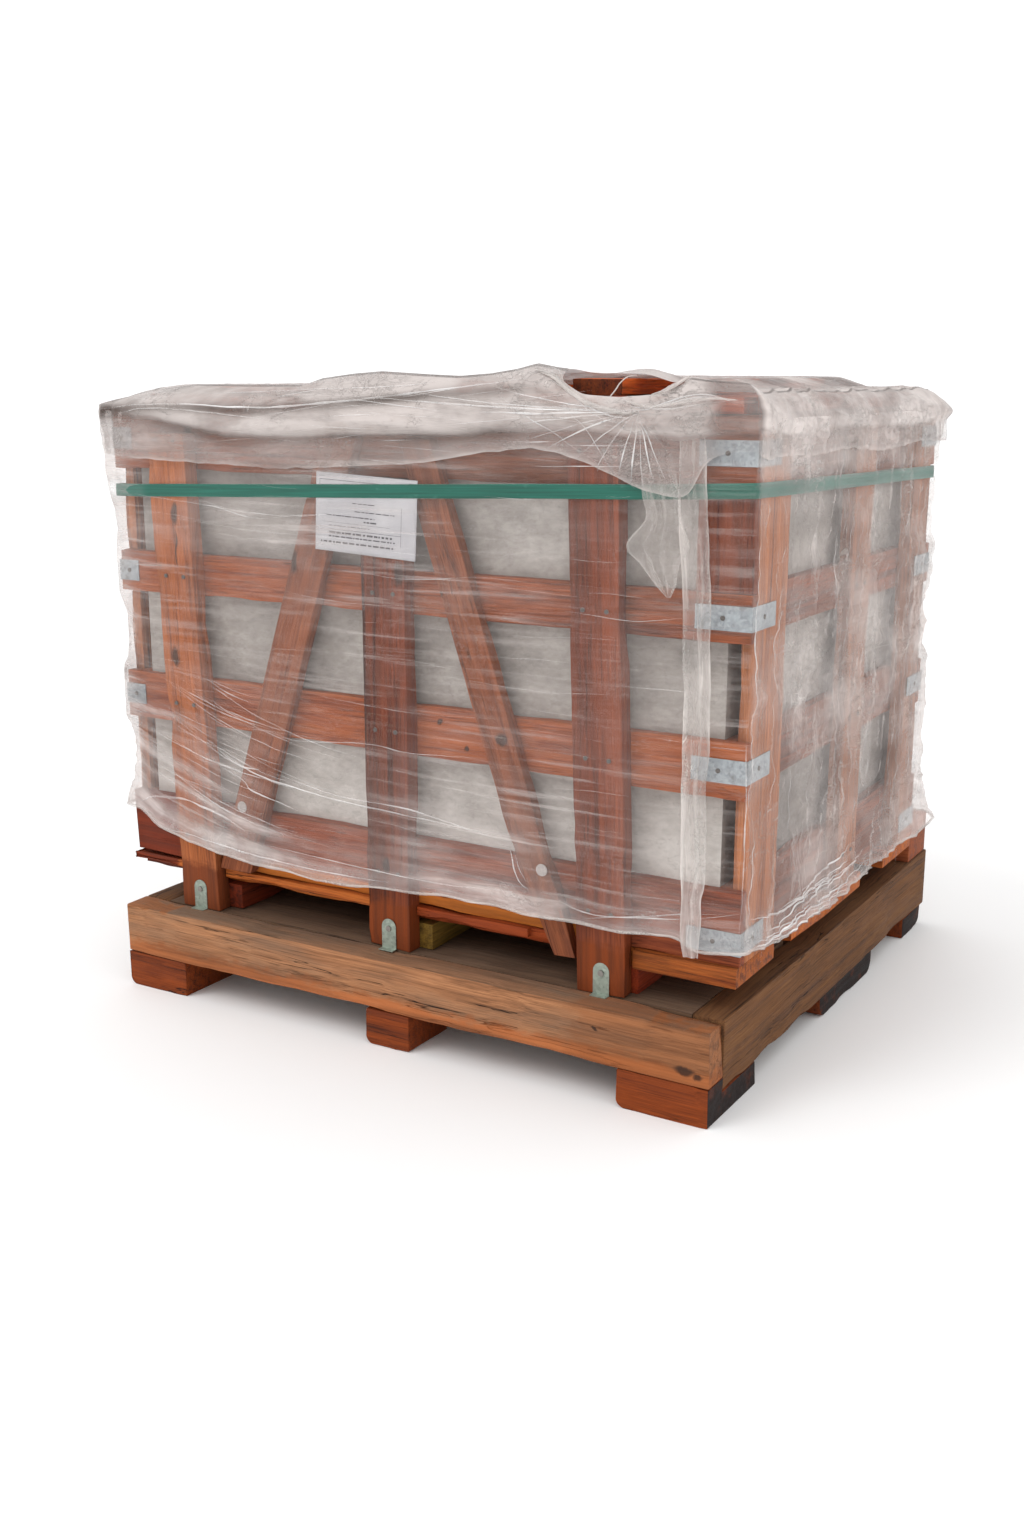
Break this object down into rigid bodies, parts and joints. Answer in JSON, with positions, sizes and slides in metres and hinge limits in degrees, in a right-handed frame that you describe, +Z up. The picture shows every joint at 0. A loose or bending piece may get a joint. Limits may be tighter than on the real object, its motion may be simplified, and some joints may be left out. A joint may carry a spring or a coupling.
{
  "type": "shipping crate",
  "caption": "Nailed timber shipping crate with slatted sides, braces and a lift-off slatted lid on a beam pallet, strapped and wrapped in stretch film.",
  "frame": {"origin": "under the middle of the bounding box, at floor level", "axes": "+X to the right of the braced front panel, +Y from the front panel to the rear, +Z up"},
  "size_m": [1.38, 1.2, 1.216],
  "materials": {
    "bearer_wood": "dark red-brown hardwood",
    "cap_plastic": "white",
    "galvanised": "galvanised strip",
    "film": "clear stretch film",
    "plank_wood": "orange-brown hardwood, sawn",
    "foot_wood": "red-brown hardwood, sawn",
    "post_wood": "brown hardwood, sawn",
    "rail_wood": "orange-brown hardwood, sawn",
    "label_paper": "white, matt",
    "steel": "dull wire",
    "upright_wood": "orange-brown hardwood, sawn",
    "lid_wood": "orange-brown hardwood, sawn",
    "liner": "off-white stained board",
    "pallet_wood": "weathered, rough-sawn brown",
    "strap": "green, slightly embossed",
    "cover_film": "milky, dirty film"
  },
  "bodies": {
    "crate": {"bearer_left": "bearer_wood", "bearer_mid": "bearer_wood", "bearer_right": "bearer_wood", "cap_nails": "cap_plastic", "corner_strips": "galvanised", "film_wrap": "film", "floor_plank_1": "plank_wood", "floor_plank_2": "plank_wood", "floor_plank_3": "plank_wood", "floor_plank_4": "plank_wood", "foot_front_left": "foot_wood", "foot_front_middle": "foot_wood", "foot_front_right": "foot_wood", "foot_left_middle": "foot_wood", "foot_rear_left": "foot_wood", "foot_rear_middle": "foot_wood", "foot_rear_right": "foot_wood", "foot_right_middle": "foot_wood", "front_brace_left": "post_wood", "front_brace_right": "post_wood", "front_cleat": "rail_wood", "front_post_left": "post_wood", "front_post_middle": "post_wood", "front_post_right": "post_wood", "front_rail_bottom": "rail_wood", "front_rail_lower": "rail_wood", "front_rail_top": "rail_wood", "front_rail_upper": "rail_wood", "label": "label_paper", "label_staples": "steel", "left_rails": "rail_wood", "left_uprights": "upright_wood", "liner_front": "liner", "liner_left": "liner", "liner_rear": "liner", "liner_right": "liner", "nails": "steel", "pallet_beam_front": "pallet_wood", "pallet_beam_left": "pallet_wood", "pallet_beam_rear": "pallet_wood", "pallet_beam_right": "pallet_wood", "pallet_deck_boards": "pallet_wood", "pallet_stringer": "pallet_wood", "post_ties": "galvanised", "rear_post_left": "post_wood", "rear_post_middle": "post_wood", "rear_post_right": "post_wood", "rear_rails": "rail_wood", "rear_sill": "pallet_wood", "right_rails": "rail_wood", "right_upright_far": "upright_wood", "right_upright_middle": "upright_wood", "right_upright_near": "upright_wood", "strap": "strap", "tie_screws": "steel"},
    "lid": {"lid_slats": "lid_wood", "lid_ledgers": "lid_wood", "top_cover": "cover_film"}
  },
  "joints": [
    {"name": "lid_lift", "type": "slide", "parent": "crate", "child": "lid", "axis": [0, 0, 1], "range_m": [0, 0.35]}
  ]
}
